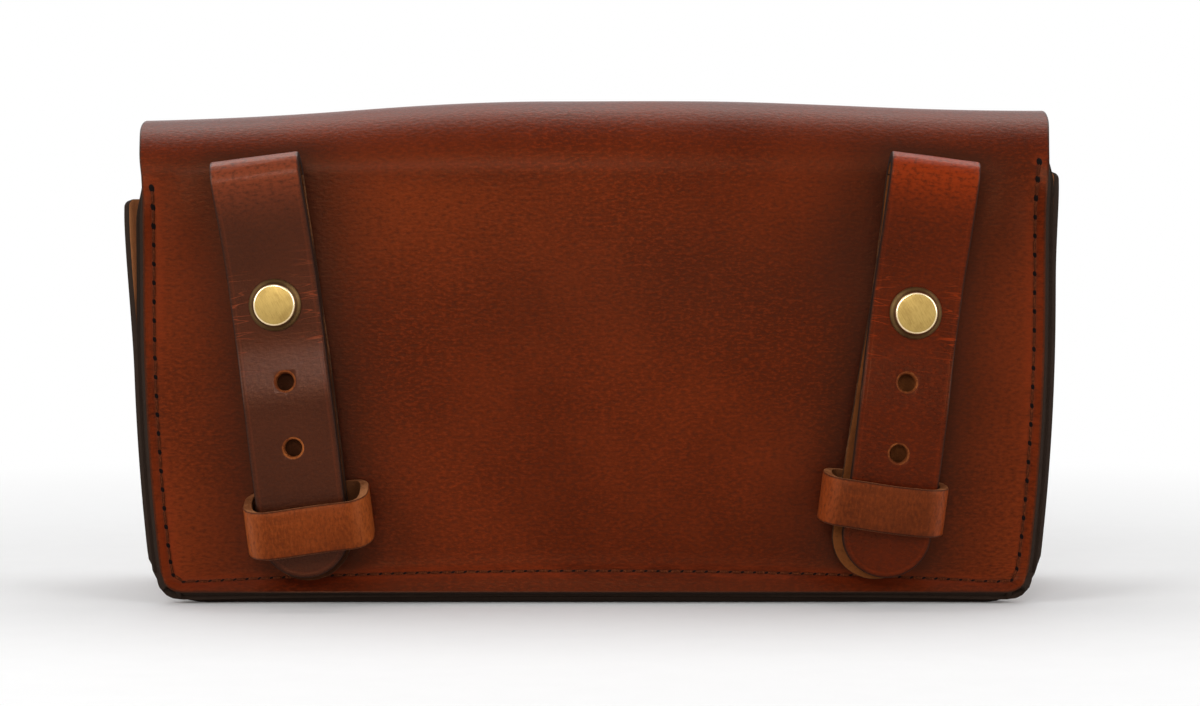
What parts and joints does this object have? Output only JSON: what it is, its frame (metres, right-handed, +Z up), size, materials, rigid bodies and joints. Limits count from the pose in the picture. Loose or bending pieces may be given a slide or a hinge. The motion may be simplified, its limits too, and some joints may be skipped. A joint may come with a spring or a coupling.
{
  "type": "leather strap-on bag",
  "caption": "Small red-brown leather bag with a wrap-over flap closed by press studs, a sewn gusset and doubled rear straps with brass posts and sliding keepers for hanging on a bar.",
  "frame": {"origin": "under the middle of the overall box, on the ground", "axes": "+X along the bag's width, -Y out of the back with the straps, +Z up"},
  "size_m": [0.225, 0.085, 0.126],
  "materials": {
    "hide": "waxed red-brown bridle hide",
    "gusset_hide": "waxed brown hide with raw cut ends",
    "strap_hide": "dark brown strap hide with dyed edges",
    "keeper_hide": "lighter fibrous strap hide",
    "antique_brass": "brushed flat with a darkened bevel",
    "plain_brass": "plain turned brass"
  },
  "bodies": {
    "bag": {"back_panel": "hide", "front_panel": "hide", "gusset": "gusset_hide", "post_left_screw": "plain_brass", "post_right_screw": "plain_brass", "snap_left_stud": "plain_brass", "snap_right_stud": "plain_brass", "snap_left_eyelet": "plain_brass", "snap_right_eyelet": "plain_brass"},
    "flap": {"flap": "hide", "snap_left_cap": "antique_brass", "snap_right_cap": "antique_brass", "snap_left_socket": "plain_brass", "snap_right_socket": "plain_brass"},
    "strap_left": {"strap_left_base": "strap_hide"},
    "strap_left_leaf": {"strap_left_leaf": "strap_hide"},
    "post_left": {"post_left_cap": "antique_brass"},
    "keeper_left": {"keeper_left": "keeper_hide"},
    "strap_right": {"strap_right_base": "strap_hide"},
    "strap_right_leaf": {"strap_right_leaf": "strap_hide"},
    "post_right": {"post_right_cap": "antique_brass"},
    "keeper_right": {"keeper_right": "keeper_hide"}
  },
  "joints": [
    {"name": "flap_hinge", "type": "hinge", "parent": "bag", "child": "flap", "pos_m": [0, -0.0178, 0.12345], "axis": [1, 0, 0], "range_deg": [0, 120]},
    {"name": "strap_left_swivel", "type": "hinge", "parent": "bag", "child": "strap_left", "pos_m": [-0.079, -0.0273, 0.075], "axis": [0, 1, 0], "range_deg": [-20, 20]},
    {"name": "strap_left_open", "type": "hinge", "parent": "strap_left", "child": "strap_left_leaf", "pos_m": [-0.08377, -0.0334, 0.11169], "axis": [-0.9917, 0, -0.1288], "range_deg": [0, 120]},
    {"name": "post_left_pull", "type": "slide", "parent": "strap_left_leaf", "child": "post_left", "axis": [0, -1, 0], "range_m": [0, 0.008]},
    {"name": "keeper_left_slide", "type": "slide", "parent": "strap_left", "child": "keeper_left", "axis": [-0.1288, 0, 0.9917], "range_m": [-0.005, 0.014]},
    {"name": "strap_right_swivel", "type": "hinge", "parent": "bag", "child": "strap_right", "pos_m": [0.0795, -0.0273, 0.073], "axis": [0, 1, 0], "range_deg": [-20, 20]},
    {"name": "strap_right_open", "type": "hinge", "parent": "strap_right", "child": "strap_right_leaf", "pos_m": [0.08452, -0.0334, 0.11167], "axis": [-0.9917, 0, 0.1288], "range_deg": [0, 120]},
    {"name": "post_right_pull", "type": "slide", "parent": "strap_right_leaf", "child": "post_right", "axis": [0, -1, 0], "range_m": [0, 0.008]},
    {"name": "keeper_right_slide", "type": "slide", "parent": "strap_right", "child": "keeper_right", "axis": [0.1288, 0, 0.9917], "range_m": [-0.005, 0.012]}
  ]
}
